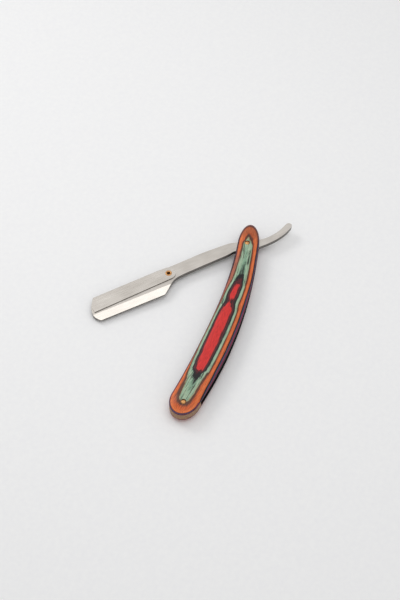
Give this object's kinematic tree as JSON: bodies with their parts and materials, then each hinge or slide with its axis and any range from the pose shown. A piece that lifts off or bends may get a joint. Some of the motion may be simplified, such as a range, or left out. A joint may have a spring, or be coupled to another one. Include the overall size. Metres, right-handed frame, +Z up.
{
  "type": "straight razor",
  "caption": "Folding barber's razor: bowed laminate handle, pivoting steel arm with a curled tail, and a swing lock that clamps a half blade between two leaves.",
  "frame": {"origin": "on the surface that the closed back of the handle rests on, under the centre of the open razor's box", "axes": "+X along the handle from the butt to the pivot end, +Y to the hollow side of the handle, where the arm opens, +Z up through the pins"},
  "size_m": [0.1528, 0.097, 0.0108],
  "materials": {
    "laminate": "polished laminate of dyed veneers in red, green, orange, blue and crimson with black lines",
    "wedge_wood": "oiled brown wood",
    "steel": "fine brushed, with a polished bevel",
    "brass": "polished"
  },
  "bodies": {
    "handle": {"front_scale": "laminate", "back_scale": "laminate", "wedge": "wedge_wood", "pivot_pin": "brass", "butt_pin": "brass", "pivot_collar_front": "brass", "pivot_collar_back": "brass", "butt_collar_front": "brass", "butt_collar_back": "brass", "pivot_washer_front": "brass", "pivot_washer_back": "brass"},
    "arm": {"front_leaf": "steel", "back_leaf": "steel", "blade_peg_tip": "steel", "blade_peg_heel": "steel", "lock_eyelet": "brass"},
    "lock": {"swing_lock": "steel"}
  },
  "joints": [
    {"name": "arm_pivot", "type": "hinge", "parent": "handle", "child": "arm", "pos_m": [0.05031, -0.02709, 0.00537], "axis": [0, 0, -1], "range_deg": [-43, 225]},
    {"name": "lock_pivot", "type": "hinge", "parent": "arm", "child": "lock", "pos_m": [0.01517, 0.01177, 0.00537], "axis": [0, 0, -1], "range_deg": [0, 105]}
  ]
}
